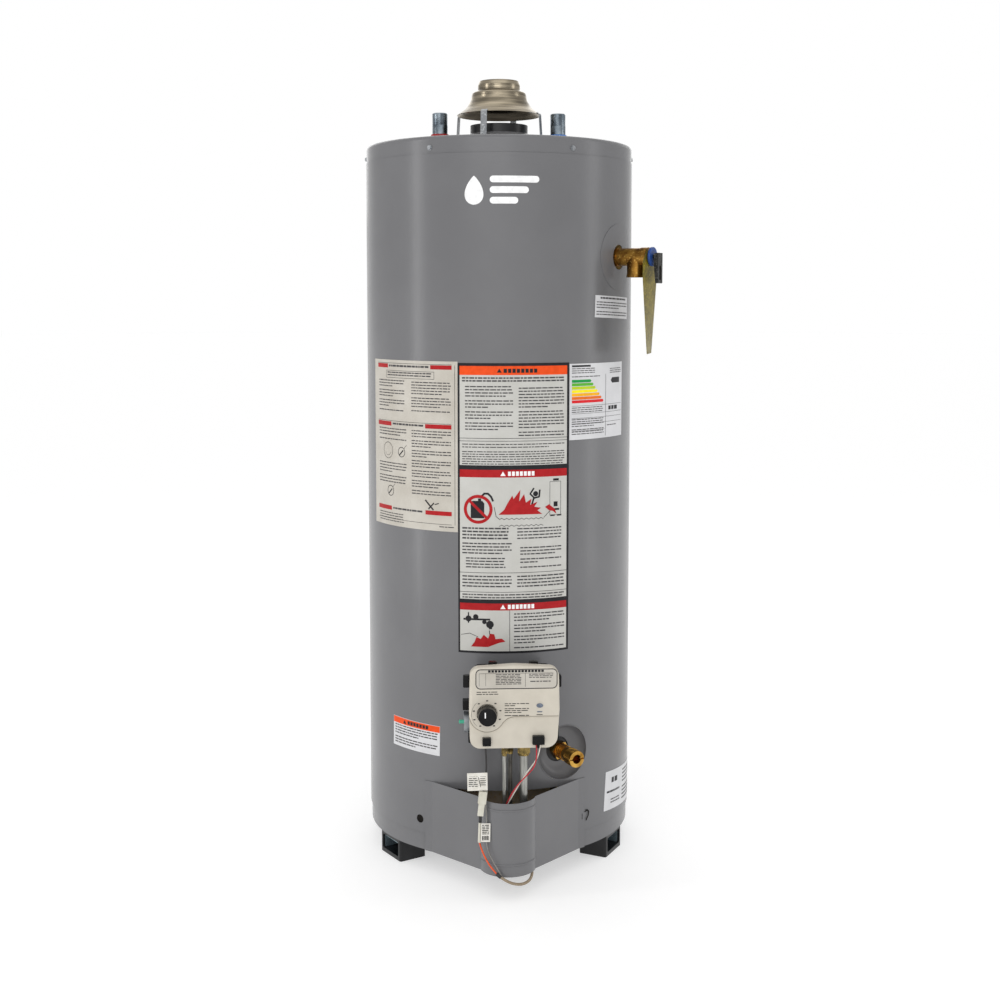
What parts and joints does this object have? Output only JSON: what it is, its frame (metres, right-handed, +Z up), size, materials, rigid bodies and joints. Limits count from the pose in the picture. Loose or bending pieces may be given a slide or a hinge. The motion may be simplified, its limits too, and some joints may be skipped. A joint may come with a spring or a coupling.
{
  "type": "tank water heater",
  "caption": "Short floor-standing gas water heater: round jacket on feet, draft hood, front gas control, relief and drain valves, burner door and hanging leads.",
  "frame": {"origin": "centre of the footprint box of the whole heater, on the floor under its feet", "axes": "+Z up along the tank, -Y towards the gas control and outer door, +X towards the viewer's right, where the relief valve is"},
  "size_m": [0.4904, 0.5614, 1.323],
  "materials": {
    "jacket_paint": "satin mid grey enamel",
    "hood_steel": "aluminised steel, slightly heat tinted",
    "zinc": "bright zinc plate",
    "tank_steel": "black enamel",
    "flue_black": "black enamel",
    "foam": "rigid foam",
    "blanket": "glass fibre",
    "pipe_zinc": "galvanised pipe",
    "cap_red": "moulded",
    "cap_blue": "moulded",
    "white_plastic": "moulded",
    "magnesium": "cast",
    "brass": "cast and turned",
    "disc_blue": "enamelled",
    "lever_steel": "dark stamped steel",
    "tag_yellow": "printed sheet",
    "cover_beige": "moulded, satin",
    "black_plastic": "moulded",
    "control_casting": "die cast",
    "lens": "smoked",
    "mint_plastic": "moulded",
    "tube_alu": "drawn",
    "tube_dark": "dull steel",
    "burner_steel": "pressed steel",
    "gasket": "fibre sheet",
    "screw_zinc": "zinc plate",
    "foot_black": "moulded",
    "bracket_galv": "galvanised",
    "wire_red": "sleeved",
    "wire_white": "sleeved",
    "lead_black": "sleeved",
    "lead_orange": "sleeved",
    "lead_grey": "sleeved",
    "cable_beige": "sleeved",
    "nylon": "natural nylon",
    "paper": "printed paper"
  },
  "bodies": {
    "root": {"jacket": "jacket_paint", "top_pan": "jacket_paint", "rim_screws": "screw_zinc", "base_pan": "jacket_paint", "tank_shell": "tank_steel", "tank_spuds": "tank_steel", "flue_tube": "flue_black", "flue_baffle": "burner_steel", "foam_insulation": "foam", "hot_nipple": "pipe_zinc", "cold_nipple": "pipe_zinc", "hot_cap": "cap_red", "cold_cap": "cap_blue", "dip_tube": "white_plastic", "anode_rod": "magnesium", "draft_hood": "hood_steel", "draft_hood_legs": "zinc", "relief_valve_body": "brass", "relief_port_cover": "jacket_paint", "relief_name_disc": "disc_blue", "control_cover": "cover_beige", "control_rear_case": "black_plastic", "control_body": "control_casting", "thermowell": "brass", "status_lens": "lens", "thermopile_plug": "black_plastic", "control_side_plug": "black_plastic", "pressure_tap_cap": "mint_plastic", "burner_tube": "tube_alu", "pilot_tube": "tube_alu", "igniter_conduit": "tube_dark", "tube_nuts": "brass", "burner": "burner_steel", "pilot_assembly": "burner_steel", "manifold_gasket": "gasket", "manifold_door": "burner_steel", "manifold_door_screws": "screw_zinc", "flame_arrestor": "burner_steel", "chamber_blanket": "blanket", "outer_door": "jacket_paint", "feet": "foot_black", "foot_brackets": "bracket_galv", "drain_dish": "jacket_paint", "drain_body": "brass", "thermopile_wire_red": "wire_red", "thermopile_wire_white": "wire_white", "spark_lead": "lead_black", "lead_connector": "nylon", "orange_lead": "lead_orange", "grey_lead": "lead_grey", "loop_cable": "cable_beige", "lead_tags": "paper"},
    "knob_shaft": {"knob_shaft": "tube_dark"},
    "knob": {"knob": "black_plastic"},
    "igniter_button": {"igniter_button": "black_plastic"},
    "relief_stem": {"relief_stem": "lever_steel", "relief_lever_pin": "lever_steel"},
    "relief_lever": {"relief_lever": "lever_steel"},
    "relief_tag": {"relief_tag": "tag_yellow"},
    "drain_nozzle": {"drain_nozzle": "brass"}
  },
  "joints": [
    {"name": "knob_push", "type": "slide", "parent": "root", "child": "knob_shaft", "axis": [0, 1, 0], "range_m": [0, 0.006], "stiffness_N_per_m": 500, "springref_m": -0.004},
    {"name": "knob_turn", "type": "hinge", "parent": "knob_shaft", "child": "knob", "pos_m": [-0.051, -0.2717, 0.305], "axis": [0, 1, 0], "range_deg": [0, 240]},
    {"name": "igniter_press", "type": "slide", "parent": "root", "child": "igniter_button", "axis": [0, 1, 0], "range_m": [0, 0.005], "stiffness_N_per_m": 800, "springref_m": -0.002},
    {"name": "relief_stem_lift", "type": "slide", "parent": "root", "child": "relief_stem", "axis": [0.8387, -0.5446, 0], "range_m": [0, 0.0036]},
    {"name": "relief_lever_lift", "type": "hinge", "parent": "relief_stem", "child": "relief_lever", "pos_m": [0.23526, -0.11155, 1.0205], "axis": [-0.5446, -0.8387, 0], "range_deg": [0, 80], "stiffness_Nm_per_rad": 0.4, "springref_deg": -8.59},
    {"name": "relief_tag_swing", "type": "hinge", "parent": "root", "child": "relief_tag", "pos_m": [0.2236, -0.10398, 1.0205], "axis": [0.8387, -0.5446, 0], "range_deg": [-45, 45]},
    {"name": "drain_nozzle_turn", "type": "hinge", "parent": "root", "child": "drain_nozzle", "pos_m": [0.09146, -0.18018, 0.208], "axis": [0.4195, -0.9078, 0], "range_deg": [0, 360]}
  ],
  "couplings": [
    {"joint": "relief_stem_lift", "follows": "relief_lever_lift", "m_per_rad": 0.0025}
  ]
}
